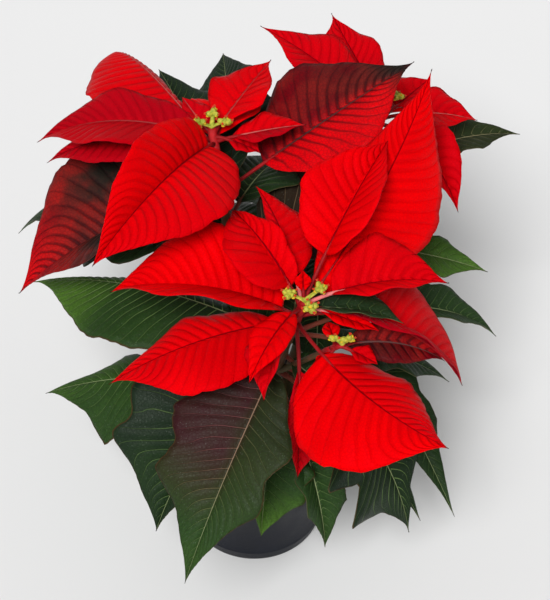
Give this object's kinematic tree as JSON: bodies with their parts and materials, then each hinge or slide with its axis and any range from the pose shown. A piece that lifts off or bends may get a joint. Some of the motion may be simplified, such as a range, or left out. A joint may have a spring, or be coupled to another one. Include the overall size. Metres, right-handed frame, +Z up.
{
  "type": "potted poinsettia",
  "caption": "Leafy flowering house plant with large pointed red bracts around small yellow-green flower clusters, on stems standing in soil in a tapered nursery pot.",
  "frame": {"origin": "centre of the pot's flat underside", "axes": "+Z up, the face of the plant that is meant to be seen points to -Y, +X to its right"},
  "size_m": [0.3657, 0.3746, 0.34],
  "materials": {
    "pot": "charcoal moulded plastic with a faint sheen",
    "soil": "rough, crumbly, dark brown",
    "leaf": "dark green, veined, slightly waxy",
    "turning_leaf": "leaf turning from green to red, veined",
    "bract": "saturated red, velvety, veined",
    "cyathia": "yellow-green with orange-red tips"
  },
  "bodies": {
    "root": {"pot": "pot", "soil": "soil", "leafy_stem_front": "leaf", "leafy_stem_left": "leaf", "leafy_stem_right": "leaf", "turning_leaves_left": "turning_leaf", "turning_leaf_side": "turning_leaf", "bracts_front": "bract", "bracts_left": "bract", "bracts_right": "bract", "bracts_side": "bract", "cyathia_front": "cyathia", "cyathia_left": "cyathia", "cyathia_right": "cyathia", "cyathia_side": "cyathia"}
  },
  "joints": []
}
